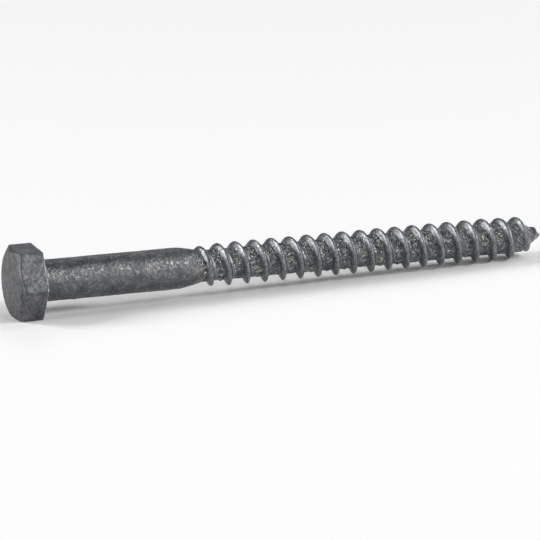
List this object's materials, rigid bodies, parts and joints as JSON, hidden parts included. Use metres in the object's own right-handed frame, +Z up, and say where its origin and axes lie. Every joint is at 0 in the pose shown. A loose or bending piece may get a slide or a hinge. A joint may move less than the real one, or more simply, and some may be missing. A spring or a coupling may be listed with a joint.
{
  "type": "lag screw",
  "caption": "Hexagon-head lag screw with a plain shank, a coarse wood thread and a cone point, hot-dip galvanised, for fixing timber.",
  "frame": {"origin": "centre of the head's bearing face, on the screw's axis", "axes": "+Z up; the screw lies as it rests on a level floor, its axis in the XZ plane with the point towards +X and dipped by 1.441 degrees; two flats of the head face up and down"},
  "size_m": [0.1071, 0.015, 0.0131],
  "materials": {
    "galvanised_steel": "hot-dip galvanised steel, dull blue-grey zinc with a lighter grainy mottle"
  },
  "bodies": {
    "root": {"lag_screw": "galvanised_steel"}
  },
  "joints": []
}
